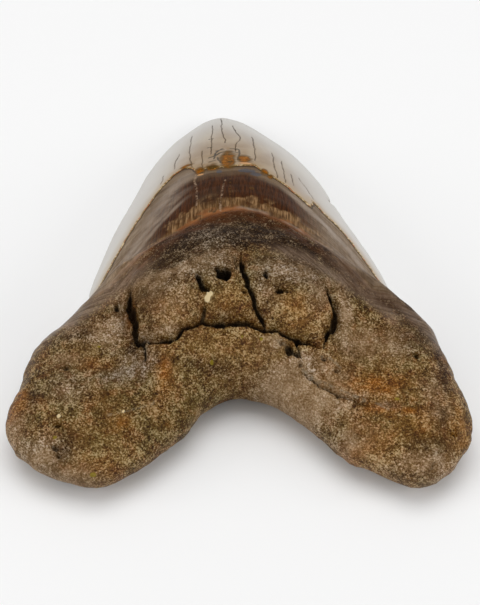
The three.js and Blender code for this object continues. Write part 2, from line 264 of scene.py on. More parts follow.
# Colour patches: seed of their ragged borders, then x, y, spread in x, spread in y, strength
PATCHES = {
    "rust": (51, [
        (29.5, 20.5, 7, 2.8, 1), (31, 14.5, 3, 1.4, 0.8), (26, 10, 2, 2, 0.6), (-17.5, 23, 1.8, 3.5, 0.9),
        (-33, 25.5, 3.5, 1.6, 0.8), (-27, 11, 3, 2, 0.5), (-52, 14, 3, 6, 0.45), (14, 35.5, 7, 3, 0.3),
        (-18, 36, 6, 3.5, 0.35), (-2, 35, 4, 2.5, 0.3), (40, 12, 9, 7, 0.28), (0, 28, 10, 2.5, 0.1),
        (32, 31, 8, 5.5, 0.25), (50, 12, 3, 6, 0.35), (26, 6, 4, 2, 0.4), (-50.5, 18, 2, 4, 0.6),
        (20, 24.5, 3, 3, 0.5), (38.5, 14, 1.6, 0.8, 0.9), (30, 8, 3, 2, 0.4), (41, 2, 6, 2, 0.4),
        (-35, 1, 7, 2, 0.4), (-26, 38, 1.6, 4, 0.8), (10, 45, 3, 3, 0.3), (20, 38, 2, 4, 0.3),
        (47, 22, 2, 9, 0.3), (12, 21, 6, 3, 0.25), (24, 7, 4, 2, 0.3),
    ]),
    "ash": (53, [
        (-23.5, 26, 5, 3.5, 0.9), (-29, 22.5, 6, 2.5, 0.7), (-45, 3.5, 5, 3, 0.9), (15, 24, 4, 3, 0.9),
        (24, 18, 7, 1, 0.4), (22, 24, 2.5, 1.5, 0.5), (25, 29, 3, 3, 0.4), (-5, 46.5, 5, 5, 0.5),
        (12, 44, 8, 3.5, 0.7), (-40, 22, 5, 4, 0.3), (-28.5, 36, 2, 6, 0.6), (5, 41, 2, 4, 0.4),
        (-17, 41, 5, 2, 0.3), (34, 15.5, 3, 1, 0.6), (14, 45.5, 7, 2.4, 0.6), (38, 32, 5, 4, 0.5),
        (43, 2.5, 5, 3, 0.5), (-38, 35, 5, 3, 0.4),
    ]),
    # Dark patches: darker bone, and painted shade on the blocks' lower edges just above the cross crack
    "dark": (57, [
        (-17, 49.5, 5, 2, 0.8), (8, 57, 14, 4, 0.8), (-6, 58, 9, 4, 0.8), (19, 54, 6, 3, 0.9),
        (-38, 33, 5, 3, 0.3), (-6, 25.5, 8, 1.6, 0.5), (20, 9, 5, 2, 0.25), (-20, 8, 4, 2, 0.1),
        (27, 49.5, 6, 3.5, 1), (36, 43, 6, 4, 0.9), (43, 36, 5, 5, 0.7), (40, 46, 4, 4, 0.4),
        (-27.3, 38, 1.3, 4.5, 0.2), (47.3, 25, 1.8, 10, 0.7), (42, 6, 4, 2, 0.5), (45.5, 11, 2, 4, 0.4),
        (-47.7, 17.5, 2, 4, 0.5), (-41, 32.3, 4, 2, 0.3), (-34.5, 37.8, 4, 1.6, 0.25),
        (-19.5, 53.5, 3, 2, 0.5), (-38.5, 5, 2.5, 4, 0.5), (4, 53, 8, 2.5, 0.8), (14, 53, 7, 2.5, 0.7),
        (22, 50.5, 6, 2.5, 0.7), (32, 45, 6, 2.5, 0.6), (-25, 29, 1.5, 1.5, 1), (-15, 55, 5, 3, 0.8),
        (-7.5, 74, 3.6, 3.2, 1.3), (-3.5, 33.5, 3, 1.6, 0.5), (5, 34.5, 3, 1.6, 0.4), (0, 53, 3, 3, 0.6),
    ]),
    "chalky": (59, [
        (-6, 53, 5, 6, 0.8), (-8.5, 60, 3, 3, 0.4), (-9, 44, 5, 3, 0.6),
    ]),
    # Sand-coloured patches: partly sandy bone, partly painted light that lightens the saddle and the
    # lobes' fronts
    "sandy_and_lit": (66, [
        (0, 27, 20, 5, 1), (-30, 4, 16, 5, 0.7), (33, 4, 14, 5, 1), (-17, 36, 7, 4.5, 0.8),
        (13, 36, 8, 4.5, 0.7), (-1, 37, 5, 4, 0.9), (-36, 30, 6, 4, 0.4), (46, 20, 5, 8, 0.4),
        (14, 19, 7, 5, 1.2), (28, 6, 6, 3, 0.5),
    ]),
    "pale": (70, [
        (-45, 4, 5, 3.5, 1), (17, 17.5, 7, 4, 1.4), (25, 8, 5, 3, 0.7), (8, 29.1, 2.6, 1.4, 1),
        (13.5, 25.6, 2, 1.2, 0.6), (25, 37.5, 1.5, 3, 1), (-30, 34, 3, 4, 0.7), (13, 45, 6, 2.5, 0.9),
        (41, 2, 7, 2, 0.9), (12, 24, 4, 2, 0.7), (29, 31, 5, 4, 0.7), (37, 31, 3, 3, 0.4),
        (-34, 33, 4, 2.5, 0.6), (-17, 36, 6, 4, 0.4), (7, 38, 3, 3, 0.4), (44, 20, 2.6, 2.6, 0.6),
        (45, 14.5, 2.6, 2.4, 0.6), (-19, 44.5, 7, 1.8, 0.9), (-19, 31.6, 5, 0.7, 0.9),
        (24.5, 31.5, 2, 2.5, 0.5), (-38, 0, 8, 1.8, 0.5), (-25, 27.5, 2.4, 1.2, 0.5),
        (-40, 27, 5, 2, 0.4), (9, 21, 6, 3.5, 1.6), (16, 15, 3, 2, 0.6), (18.5, 25.5, 2.5, 2, 0.6),
        (18.5, 38.5, 2.5, 3.5, 0.6), (-39.5, 18.6, 4, 2.5, 0.5), (23, 22.5, 3, 1.5, 0.4),
        (-9, 46.3, 5, 2.6, 1.1), (24, 43.5, 2, 2.5, 0.7), (-51, 10, 2.5, 4, 0.8), (-20, 41.5, 6, 3, 0.6),
    ]),
    "stain": (68, [
        (-3, 98.5, 5, 5, 0.8), (-9, 92, 4, 3, 0.6), (4, 93.5, 4, 3, 0.5), (-15, 95.5, 3, 1.5, 0.4),
        (-12, 98, 5, 4, 0.3), (-2.5, 102, 6, 7, 0.35),
    ]),
}

# Small spots: seed of their ragged borders, then x, y, half width in x and in y
SPOTS = {
    "cream": (55, [
        (-7.1, 37.9, 0.8, 0.75), (-7.5, 37, 0.75, 0.75), (-41, 12.6, 0.6, 0.6), (-26.5, 14, 0.55, 0.5),
    ]),
    "amber": (56, [
        (-3.3, 95.3, 2.1, 6.2), (1.2, 95.8, 2, 2.8), (-7.3, 90.5, 1.6, 2), (-10.5, 89.5, 1.3, 2.2),
        (6.6, 89, 1, 1.6), (8, 86.6, 0.9, 1.4), (-14.5, 95.3, 2, 0.7),
    ]),
    "blue": (63, [
        (-5.5, 87.6, 0.9, 1), (1.8, 88.4, 2.6, 1.3), (4.3, 86.4, 1.6, 1),
    ]),
    "peach": (64, [
        (1.3, 92.9, 1.8, 0.6), (-10.4, 87.2, 1, 0.5),
    ]),
    "ochre": (65, [(3, 78, 0.7, 1)] + [(-2.5, y, 0.3, 0.5) for y in (72.5, 74.5, 76, 77.5, 79, 81, 83)]),
    "yellow": (67, [
        (-6.5, 26, 0.45, 0.45), (-41.5, 7.5, 0.5, 0.4), (-33, 30, 0.5, 0.4), (-32.5, 0, 0.6, 0.4),
        (36, 17, 0.6, 0.4), (5, 29.9, 0.4, 0.4), (0.5, 30.3, 0.3, 0.3), (-30, 35, 0.3, 0.3),
    ]),
}

# How strongly each patch or spot colours what is under it
STRENGTHS = {
    "sandy_and_lit": 0.8, "rust": 0.8, "ash": 0.75, "pale": 0.85, "chalky": 0.35, "stain": 0.75,
    "blue": 0.6, "peach": 0.8, "ochre": 0.5, "yellow": 0.8,
}

# Screen colours of bone, band and enamel, and pairs of colours that noise patterns mix
# Some of these colours stand in for light: painted light on the saddle and lobe fronts, painted glints on
# the grain, painted reflection on the enamel's rim and in the lighter greys of the satin and band-flank
# pairs, and painted shade in places of wear, cracks and holes
COLOURS = {
    "sandy_and_lit": "966F37", "olive": "6A5A28", "ruddy": "85501E", "rust": "A05C0C", "ash": "806C54",
    "pale": "B0906A", "dark bone": "3E2A16", "chalky": "84725A", "grain and glint": "C8AE8C",
    "vein": "93876F", "worn_and_shaded": "725C4C", "hollow_shade": "150E08", "cream": "FFE6B2", "satin shade": "3A281A",
    "rib tick": "38200D", "flank tick": "463018", "band shade": "3A2818", "sheen": "8E7A65",
    "warm arc": "5E3416", "light line": "9A8068", "enamel flank reflection": "C8C6C2", "halo": "A5885A",
    "stain": "846438", "hairline": "2A1D10", "cross mark": "2E2310", "fleck": "A4521C",
    "nick": "4A2A10", "amber glint": "A87028", "amber rim": "5C421E", "blue": "424A56",
    "peach": "CC9866", "ochre": "5A3C10", "yellow": "A08C22",
}
PAIRS = {
    "bone": ("6F5524", "7E5725"), "satin": ("4E3D2E", "806C5B"), "ribs": ("5A3E20", "957450"),
    "lip": ("5A3214", "925E36"), "drips": ("2E1604", "4A280E"), "arcs": ("4A3521", "7A6650"),
    "flank": ("746049", "A08E79"), "enamel": ("937F69", "A99881"), "fringe": ("7A5E1A", "D2B88E"),
    "amber": ("4A350E", "88500A"),
}

# Noise patterns by the place that they follow: scale, detail, roughness, and the ends of a smooth step
PATTERNS = {
    "object": {
        "bone": (0.15, 4, 0.6, 0.4, 0.66), "olive": ((-0.13, 0.13, 0.13), 3, 0.55, 0.5, 0.68),
        "ruddy": ((0.4, -0.4, 0.4), 3, 0.6, 0.5, 0.66), "vein": (0.9, 3, 0.55, 0.4, 0.6),
        "grain": (2.4, 4, 0.7), "mottle": (0.35, 3, 0.6), "contrast": (0.1, 3, 0.55, 0.38, 0.62),
        "ticks": ((1.6, 0.3, 0.3), 3, 0.55, 0.44, 0.6), "drips": ((2.2, 0.2, 0.2), 4, 0.6, 0.36, 0.66),
        "ribs": ((2.6, 0.28, 0.28), 3, 0.55, 0.36, 0.64), "rib relief": ((2.6, 0.3, 0.3), 3, 0.6),
        "clouds": (0.08, 2, 0.55), "hairline": (0.5, 2, 0.55), "cross mark": (0.7, 2, 0.55),
        "fringe": (1.4, 2, 0.55, 0.5, 0.6), "fleck": ((-0.9, 0.9, 0.9), 2, 0.55, 0.54, 0.62),
        "fringe gaps": (0.6, 2, 0.55), "light line": (0.9, 3, 0.55, 0.38, 0.62),
        "amber": (0.45, 3, 0.55, 0.38, 0.58), "amber glint": (1.3, 2, 0.55, 0.56, 0.68),
    },
    "arch": {
        "satin": ((0.14, 1.3, 1), 4, 0.7, 0.36, 0.64), "warm arc": ((0.25, 0.6, 1), 3, 0.55, 0.4, 0.6),
        "parts": ((0.3, 0.3, 1), 2, 0.55, 0.36, 0.6), "arcs": ((0.08, 0.35, 1), 4, 0.6, 0.3, 0.7),
        "flank": ((0.16, 1.2, 1), 4, 0.7, 0.34, 0.66), "sheen": (0.4, 3, 0.55, 0.36, 0.62),
    },
    "growth": {"streaks": ((9, 1.5, 1), 3, 0.55)},
}

# The bone's grain: its middle height, its lightest shade, and its contrast in red, green and blue
GRAIN_LEVEL = 0.768
GRAIN_CAP = 0.145
GRAIN_BASES = (3000.0, 26000.0, 1700000.0)

# Ragged lumps as pairs of reach and size, for cracks, fine lines, patches and the outline
CRACK_WAVER = [(0.42, 2.2), (0.26, 0.8)]
LINE_WAVER = [(0.16, 1), (0.25, 3)]
PATCH_RAGGED = [(0.5, 1.6), (0.35, 0.8)]
OUTLINE_RAGGED = [(1, 3.2), (0.5, 1.3)]

# Depths of the fine relief
FURROW_DEPTH = 0.7
BONE_LUMPS = 0.35
BAND_RIBS = 0.08
BAND_LIP = 0.3
SATIN_STREAK_DEPTH = 0.05
ENAMEL_WAVES = 0.04
ENAMEL_STEP = 0.3
HAIRLINE_DEPTH = 0.12

# Fineness of the mesh: lines across and along, the under face's step over them, and where they lie closer
LINES = 288
UNDER_STEP = 3
ACROSS_DETAIL = (0.3, 0.68)
ALONG_DETAIL = (0.0, 0.24)
DETAIL_FADE = 0.04
DETAIL_DENSITY = 0.9
RIM_DENSITY = 4
RIM_BAND = 0.008

# Camera and studio
CAMERA_TARGET = (0.16, -14.4, 10)
CAMERA_TILT = 48
CAMERA_DISTANCE = 0.3
CAMERA_LENS = 71.4
FLOOR_HALF = 3.0
SOFTBOXES = [
    ("top_softbox", (0, 0.3, 1.25), (1.2, 0.9), 8.1),
    ("left_softbox", (-1, -0.25, 0.45), (0.8, 0.5), 3.45),
    ("right_softbox", (1, -0.25, 0.45), (0.8, 0.5), 3.45),
]
WORLD_STRENGTH = 0.46


def curve_points(route, count):
    """Evenly spaced points on the smooth curve through a route"""
    steps_per_span = 40
    knots = np.array(route, float)
    padded = np.vstack([knots[:1], knots, knots[-1:]])
    share = np.linspace(0, 1, steps_per_span, endpoint=False)[:, None]
    spans = []
    for before, start, end, after in zip(padded, padded[1:], padded[2:], padded[3:]):
        leave = (end - before) / 2
        arrive = (after - start) / 2
        bend = 2 * (start - end) + leave + arrive
        turn = 3 * (end - start) - 2 * leave - arrive
        spans.append(bend * share**3 + turn * share**2 + leave * share + start)
    fine = np.vstack(spans + [knots[-1:]])
    places = np.linspace(0, 1, count) * path_reach(fine)[-1]
    return np.column_stack([np.interp(places, path_reach(fine), fine[:, k]) for k in (0, 1)])


def path_reach(points):
    """Length of a polyline up to each of its points"""
    return np.concatenate([[0], np.cumsum(np.linalg.norm(np.diff(points, axis=0), axis=1))])


def ramp(value, start, end):
    """Smooth rise from 0 at start to 1 at end"""
    share = np.clip((value - start) / (end - start), 0, 1)
    return share * share * (3 - 2 * share)


def blend(start, end, share):
    return start + (end - start) * share


def rounded(distance, radius):
    """Quarter-round rise from 0 at the rim to 1 at the radius"""
    share = np.clip(distance / radius, 0, 1)
    return np.sqrt(1 - (1 - share) ** 2)


def heap(x, y, spot):
    """A smooth mound of height 1 over a spot given as x, y, spread in x, spread in y"""
    return np.exp(-(((x - spot[0]) / spot[2]) ** 2) - ((y - spot[1]) / spot[3]) ** 2)


def past_arch(x, y, arch):
    """How far a place lies beyond an arch, towards the tip"""
    centre, top, drop, half_width, power = arch
    return y - top + drop * np.abs((x - centre) / half_width) ** power


def crown_share(x, y):
    """0 on the root, 1 on the crown, and smooth between them at the neck"""
    return ramp(past_arch(x, y, NECK), *NECK_SPAN)


def drift(x, y, size, seed):
    """Smooth random values from -1 to 1 over the plan, in lumps of about the given size"""
    cells = 256
    lattice = np.random.default_rng(seed).uniform(-1, 1, (cells, cells))
    column, row = x / size, y / size
    left, low = np.floor(column).astype(int), np.floor(row).astype(int)
    share_x = ramp(column - left, 0, 1)
    share_y = ramp(row - low, 0, 1)
    near = blend(lattice[low % cells, left % cells], lattice[low % cells, (left + 1) % cells], share_x)
    far_row = (low + 1) % cells
    far = blend(lattice[far_row, left % cells], lattice[far_row, (left + 1) % cells], share_x)
    return blend(near, far, share_y)


def drifts(x, y, lumps, seed, start=0):
    """A start plus lumps of several sizes, each a reach and a size"""
    return sum((reach * drift(x, y, size, seed + k) for k, (reach, size) in enumerate(lumps)), start)


def fading_ends(place, first, last):
    """1 along a route, falling to 0 over a share at each end"""
    return ramp(place, 0, first) * (1 - ramp(place, 1 - last, 1))


def distance_to_route(x, y, points):
    """Distance to a polyline, and the share of its length at the nearest point"""
    nearest = np.full(x.shape, np.inf)
    place = np.zeros(x.shape)
    spans = len(points) - 1
    for index, (start, end) in enumerate(zip(points, points[1:])):
        along = end - start
        length = max(along @ along, 1e-9)
        share = np.clip(((x - start[0]) * along[0] + (y - start[1]) * along[1]) / length, 0, 1)
        gap = np.hypot(x - start[0] - share * along[0], y - start[1] - share * along[1])
        closer = gap < nearest
        nearest[closer] = gap[closer]
        place[closer] = ((index + share) / spans)[closer]
    return nearest, place


def grid_places(dense_from, dense_to):
    """Shares from 0 to 1, closer at both rims and between two places"""
    share = np.linspace(0, 1, 4001)
    at_rims = RIM_DENSITY * (np.exp(-share / RIM_BAND) + np.exp((share - 1) / RIM_BAND))
    rise = ramp(share, dense_from - DETAIL_FADE, dense_from)
    fall = 1 - ramp(share, dense_to, dense_to + DETAIL_FADE)
    density = 1 + at_rims + DETAIL_DENSITY * rise * fall
    reach = np.concatenate([[0], np.cumsum(density[1:] + density[:-1])])
    return np.interp(np.linspace(0, 1, LINES), reach / reach[-1], share)


def plan_grid(across, along):
    """Plan places of the grid, blended from the four edges"""
    samples = 1500

    def at(route, share):
        points = curve_points(route, samples)
        places = np.linspace(0, 1, samples)
        return np.column_stack([np.interp(share, places, points[:, k]) for k in (0, 1)])

    left, right = at(LEFT_EDGE, along)[:, None], at(RIGHT_EDGE, along)[:, None]
    front, back = at(LOBE_EDGE, across)[None], at(TIP_EDGE, across)[None]
    u, v = across[None, :, None], along[:, None, None]
    corners = (1 - u) * (1 - v) * left[0] + u * (1 - v) * right[0]
    corners = corners + (1 - u) * v * left[-1] + u * v * right[-1]
    return (1 - v) * front + v * back + (1 - u) * left + u * right - corners


def outline():
    """The closed plan outline as one polyline"""
    lobes, right, left = (curve_points(edge, 140) for edge in (LOBE_EDGE, RIGHT_EDGE, LEFT_EDGE))
    return np.vstack([lobes, right, curve_points(TIP_EDGE, 20)[::-1], left[::-1]])


def rim_height(y):
    """Height of the rim: high around the root, lower around the crown, a millimetre less at the tip"""
    return blend(ROOT_RIM_HEIGHT, CROWN_RIM_HEIGHT, ramp(y, *RIM_FALL)) - ramp(y, *TIP_THINNING)


def ridge_height(y):
    """Height of the crown's middle line"""
    along = np.clip((y - RIDGE_START) / (RIDGE_END - RIDGE_START), 0, 1)
    fall = (1 - along) ** RIDGE_POWER * (1 + RIDGE_FULLNESS * along)
    return blend(TIP_HEIGHT, CROWN_HEIGHT, fall)


def cross_crack_y(x):
    """The place of the cross crack at each x"""
    return np.interp(x, [point[0] for point in CROSS_CRACK], [point[1] for point in CROSS_CRACK])


def block_rise(x, y):
    """Three blocks stand a little proud above the cross crack"""
    crack_y = cross_crack_y(x)
    past_left = ramp(x, BLOCK_LEFT - BLOCK_EDGE, BLOCK_LEFT + BLOCK_EDGE)
    past_right = ramp(x, BLOCK_RIGHT - BLOCK_EDGE, BLOCK_RIGHT + BLOCK_EDGE)
    along = ramp(y, crack_y - BLOCK_EDGE, crack_y + BLOCK_EDGE) * (1 - ramp(y, *BLOCK_FADE))
    return BLOCK_RISE * (past_left - past_right) * along


def root_top(x, y, rim_gap):
    """Height of the root: low lobes, a broad middle and small swells, rounded at the rim"""
    fall_x = np.abs((x - ROOT_CENTRE[0]) / ROOT_SPREAD[0]) ** ROOT_FALL[0]
    fall_y = np.abs((y - ROOT_CENTRE[1]) / ROOT_SPREAD[1]) ** ROOT_FALL[1]
    lobe = LOBE_HEIGHT + LOBE_RISE * ramp(y, *LOBE_SLOPE)
    middle = (ROOT_HEIGHT - LOBE_HEIGHT - LOBE_RISE) * np.exp(-fall_x - fall_y)
    swell = sum(spot[4] * heap(x, y, spot) for spot in SWELLS)
    rim = rim_height(y)
    return rim + (lobe + middle + swell + block_rise(x, y) - rim) * rounded(rim_gap, ROOT_RIM_RADIUS)


def crown_top(y, rim_gap, across):
    """Height of the crown: a curved ridge that falls to both edges, rounded at the tip"""
    rim = rim_height(y)
    tip_rim = blend(1, rounded(rim_gap, TIP_RIM_RADIUS), ramp(y, *TIP_ROUNDING))
    return rim + (ridge_height(y) - rim) * (1 - np.abs(2 * across - 1) ** CROWN_POWER) * tip_rim


def crack_fields(x, y):
    """Depth carved by the cracks and holes, and the wear around them"""
    bent_x = drifts(x, y, CRACK_WAVER, 11, x)
    bent_y = drifts(x, y, CRACK_WAVER, 13, y)
    on_blocks = ramp(y - cross_crack_y(x), -0.3, 0.3)
    carved = np.zeros(x.shape)
    wear = np.zeros(x.shape)

    def along(route):
        return distance_to_route(bent_x, bent_y, curve_points(route, 4 * len(route)))

    for route, width, depth in CRACKS:
        gap, place = along(route)
        taper = blend(CRACK_END_SHARE, 1, fading_ends(place, 0.15, 0.15))
        half = taper * width / 2
        carved = np.maximum(carved, depth * taper * (1 - ramp(gap, 0.3 * half, 1.3 * half)))
        wear = np.maximum(wear, CRACK_WEAR[0] * depth * np.exp(-((gap / CRACK_WEAR[1]) ** 2)))
        if route is CROSS_CRACK:
            wear = np.maximum(wear, BLOCK_WEAR[0] * on_blocks * np.exp(-((gap / BLOCK_WEAR[1]) ** 2)))
    for route, half_width, depth in TROUGHS:
        gap, place = along(route)
        trough = depth * fading_ends(place, 0.2, 0.2) * (1 - ramp(gap, 0.2 * half_width, half_width))
        wear = np.maximum(wear, trough)
    for hole_x, hole_y, radius, depth in HOLES:
        gap = np.hypot(bent_x - hole_x, bent_y - hole_y)
        carved = np.maximum(carved, depth * (1 - ramp(gap, 0.5 * radius, 1.15 * radius)))
    return carved, wear


def small_pits(x, y, bone):
    """Many small pits scattered over the bone"""
    spread = np.random.default_rng(7)
    carved = np.zeros(x.shape)
    for _ in range(PIT_COUNT):
        pit_x = spread.uniform(*PIT_SPAN_X)
        pit_y = spread.uniform(*PIT_SPAN_Y)
        radius = spread.uniform(*PIT_RADII)
        near = (np.abs(x - pit_x) < PIT_WINDOW) & (np.abs(y - pit_y) < PIT_WINDOW)
        gap = np.hypot(x[near] - pit_x, y[near] - pit_y)
        pit = PIT_DEPTH * radius * (1 - ramp(gap, 0.3 * radius, 1.3 * radius))
        carved[near] = np.maximum(carved[near], pit)
    return carved * bone


def enamel_gap(x, y):
    """Signed distance to the enamel's edge: above zero in the pale enamel"""
    ragged_x = drifts(x, y, [(0.25, 1.1)], 21, x)
    ragged_y = drifts(x, y, [(0.35, 1.3)], 22, y)
    points = np.array(ENAMEL_EDGE, float)
    gap, _ = distance_to_route(ragged_x, ragged_y, points)
    edge_y = np.interp(ragged_x, points[:, 0], points[:, 1], left=np.inf, right=np.inf)
    return np.where(ragged_y < edge_y, -gap, gap)


def arch_gap(x, y, arch):
    """Signed distance past an arch, and the place along it in millimetres"""
    centre, top, drop, half_width, power = arch
    reach = ARCH_REACH * half_width
    line_x = np.linspace(centre - reach, centre + reach, ARCH_POINTS)
    line_y = top - drop * np.abs((line_x - centre) / half_width) ** power
    points = np.column_stack([line_x, line_y])
    gap, place = distance_to_route(x, y, points)
    signed = np.where(past_arch(x, y, arch) > 0, gap, -gap)
    along = np.interp(place, np.linspace(0, 1, ARCH_POINTS), path_reach(points))
    return np.minimum(signed, y - SHOULDER), along


def line_field(x, y, routes, seed):
    """Distance to the nearest of some fine lines that waver a little"""
    nearest = np.full(x.shape, FAR)
    wavering_x = drifts(x, y, LINE_WAVER, seed, x)
    for route in routes:
        gap, _ = distance_to_route(wavering_x, y, curve_points(route, 3 * len(route)))
        nearest = np.minimum(nearest, gap)
    return nearest


def streak_field(x, y, streaks, seed):
    """Soft streaks that fade at both ends, 0 to 1"""
    strongest = np.zeros(x.shape)
    bent_y = y + 0.8 * drift(x, y, 4, seed)
    for route, half_width in streaks:
        gap, place = distance_to_route(x, bent_y, curve_points(route, 40))
        streak = fading_ends(place, 0.25, 0.2) * (1 - ramp(gap, 0.1 * half_width, 1.5 * half_width))
        strongest = np.maximum(strongest, streak)
    return strongest


def satin_field(x, y, rim_gap):
    """Where the upper root is smooth and streaked, its grey streaks painted sheen, 0 to 1"""
    flank = (1 - ramp(rim_gap, 2, 6.5)) * ramp(y, 28, 36) * (1 - ramp(y, 52, 60))
    return np.maximum(flank, streak_field(x, y, SATIN_STREAKS, 61))


def top_measures(x, y, rim_gap):
    """What the relief and the material of the upper face read at each place"""
    bone_gap, arch_place = arch_gap(x, y, BONE_END)
    carved, wear = crack_fields(x, y)
    lines = {name: line_field(x, y, routes, seed) for name, (routes, seed, *_) in FINE_LINES.items()}
    return lines | {
        "bone_gap": bone_gap,
        "arch_place": arch_place,
        "past_enamel": enamel_gap(x, y),
        "carved": carved,
        "worn_and_shaded": wear,
        "satin": satin_field(x, y, rim_gap),
        "sheen": streak_field(x, y, BAND_STREAKS, 62),
        "flank": ramp(np.abs(x - FLANK_MIDDLE), *FLANK_SPAN),
    }


def under_measures(x, y):
    """The same measures on the under side, which no crack or line crosses"""
    bone_gap, arch_place = arch_gap(x, y, UNDER_BONE_END)
    measures = {"bone_gap": bone_gap, "arch_place": arch_place, "past_enamel": bone_gap - UNDER_BAND_WIDTH}
    measures |= {name: np.full(x.shape, FAR) for name in FINE_LINES}
    return measures | {name: np.zeros(x.shape) for name in ("carved", "worn_and_shaded", "satin", "sheen", "flank")}


def form_height(x, y, across, rim_gap):
    """The upper face's large form: root and crown, with a shallow furrow past the bone's end"""
    height = blend(root_top(x, y, rim_gap), crown_top(y, rim_gap, across), crown_share(x, y))
    furrow = np.exp(-(((past_arch(x, y, BONE_END) - 3) / 3.2) ** 2)) * (1 - ramp(np.abs(x - 3), 28, 36))
    return height - FURROW_DEPTH * furrow * rounded(rim_gap, 9)


def fine_relief(x, y, across, bone, measures):
    """Fine lumps, grain, ribs, lip and streaks of bone, band and enamel"""
    bone_gap = measures["bone_gap"]
    arch_place = measures["arch_place"]
    satin = measures["satin"]
    in_band = ramp(bone_gap, -6, 0) * (1 - ramp(measures["past_enamel"], -2, 0))
    grain = drifts(x, y, [(0.28, 4), (0.18 + 0.15 * measures["worn_and_shaded"], 1.8), (0.12, 0.9)], 1)
    relief = bone * (BONE_LUMPS * drift(x, y, 9, 7) + grain * (1 - 0.6 * satin))
    relief += BAND_RIBS * in_band * drift(arch_place / 12, bone_gap / 1.5, 1, 8)
    relief += BAND_LIP * np.exp(-((bone_gap / 0.7) ** 2))
    relief += SATIN_STREAK_DEPTH * satin * drift(arch_place / 14, bone_gap / 0.8, 1, 9)
    return relief + (1 - bone) * ENAMEL_WAVES * drift(across * 40, y / 12, 1, 4)


def top_height(x, y, across, rim_gap, measures):
    """Height of the upper face with its fine relief and all that is carved"""
    past_enamel = measures["past_enamel"]
    bone = 1 - ramp(measures["bone_gap"], -1, 1)
    height = form_height(x, y, across, rim_gap)
    height += fine_relief(x, y, across, bone, measures) * rounded(rim_gap, 2.5)
    height += ENAMEL_STEP * ramp(past_enamel, -0.25, 0.35) * ramp(rim_gap, 0.3, 2)
    height -= HAIRLINE_DEPTH * (1 - ramp(measures["hairline"], 0.05, 0.3)) * ramp(past_enamel, 0, 0.5)
    depth = measures["carved"] + measures["worn_and_shaded"] + small_pits(x, y, bone)
    return height - depth * ramp(rim_gap, 0, 1.5)


def under_height(x, y, rim_gap):
    """Height of the nearly flat under side, lifted a little at the tip"""
    rim = rim_height(y)
    lift = TIP_LIFT * ramp(y, *UNDER_TIP_LIFTING)
    turn = rounded(rim_gap, UNDER_RIM_RADIUS + UNDER_CROWN_WIDENING * crown_share(x, y))
    bone = 1 - ramp(past_arch(x, y, UNDER_BONE_END), -1, 1)
    relief = bone * drifts(x, y, [(0.12, 4), (0.08, 1.8)], 5, 0.18) * ramp(rim_gap, 1, 4)
    return np.maximum(rim - (rim - lift) * turn - UNDER_HOLLOW, 0) + relief


def kept_lines():
    """The grid lines that the under face keeps: near the rim, then every few"""
    near_rim = (0, 1, 2, 4)
    far_rim = [LINES - 1 - line for line in near_rim]
    return sorted({*near_rim, *far_rim, *range(7, LINES - 7, UNDER_STEP)})


def under_faces(kept, first_under, lines):
    """Faces of the under side, which keep every few grid lines and meet every vertex of the rim"""
    inner = {}

    def vertex(row, column):
        if row in (0, lines - 1) or column in (0, lines - 1):
            return row * lines + column
        return inner.setdefault((row, column), first_under + len(inner))

    for row in kept[1:-1]:
        for column in kept[1:-1]:
            vertex(row, column)
    faces = []
    for row, next_row in zip(kept, kept[1:]):
        for column, next_column in zip(kept, kept[1:]):
            front = range(column, next_column) if row == 0 else (column,)
            right = range(row, next_row) if next_column == lines - 1 else (row,)
            back = range(next_column, column, -1) if next_row == lines - 1 else (next_column,)
            left = range(next_row, row, -1) if column == 0 else (next_row,)
            ring = [vertex(row, k) for k in front] + [vertex(k, next_column) for k in right]
            ring += [vertex(next_row, k) for k in back] + [vertex(k, column) for k in left]
            faces.append(ring[::-1])
    return faces, list(inner)


def patch_field(x, y, patches, seed):
    """Soft patches with ragged borders, 0 to 1"""
    total = sum(spot[4] * heap(x, y, spot) for spot in patches)
    return np.clip(total * drifts(x, y, PATCH_RAGGED, seed, 1), 0, 1)


def spot_field(x, y, spots, seed):
    """Measure of small round spots: above zero inside, falling outwards"""
    ragged = 0.2 * drift(x, y, 0.9, seed)
    inside = np.full(x.shape, -1.0)
    for spot_x, spot_y, half_x, half_y in spots:
        gap = np.hypot((x - spot_x) / half_x, (y - spot_y) / half_y)
        inside = np.maximum(inside, 1 - gap + ragged)
    return inside


def ragged_plan(x, y, rim_gap):
    """The plan with an uneven outline and the nick in its right edge, and how deep the nick is"""
    at_rim = 1 - ramp(rim_gap, 0, 4)
    on_root = 1 - ramp(y, 44, 56)
    sway = at_rim * (0.05 + on_root * (0.38 - 0.2 * ramp(y, 8, 18)))
    nick_x, nick_y, nick_radius = EDGE_NICK
    nick = NICK_DEPTH * np.exp(-(((x - nick_x) ** 2 + (y - nick_y) ** 2) / nick_radius ** 2))
    shifted_x = x - nick + sway * drifts(x, y, OUTLINE_RAGGED, 41)
    shifted_y = y + sway * drifts(x, y, OUTLINE_RAGGED, 43)
    return np.column_stack([shifted_x, shifted_y]), nick


def fitted_to_model(plan):
    """The plan in metres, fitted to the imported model's box"""
    low, high = plan.min(axis=0), plan.max(axis=0)
    box_low, box_high = np.array(cad_low)[:2], np.array(cad_high)[:2]
    return (plan - low) / (high - low) * (box_high - box_low) + box_low


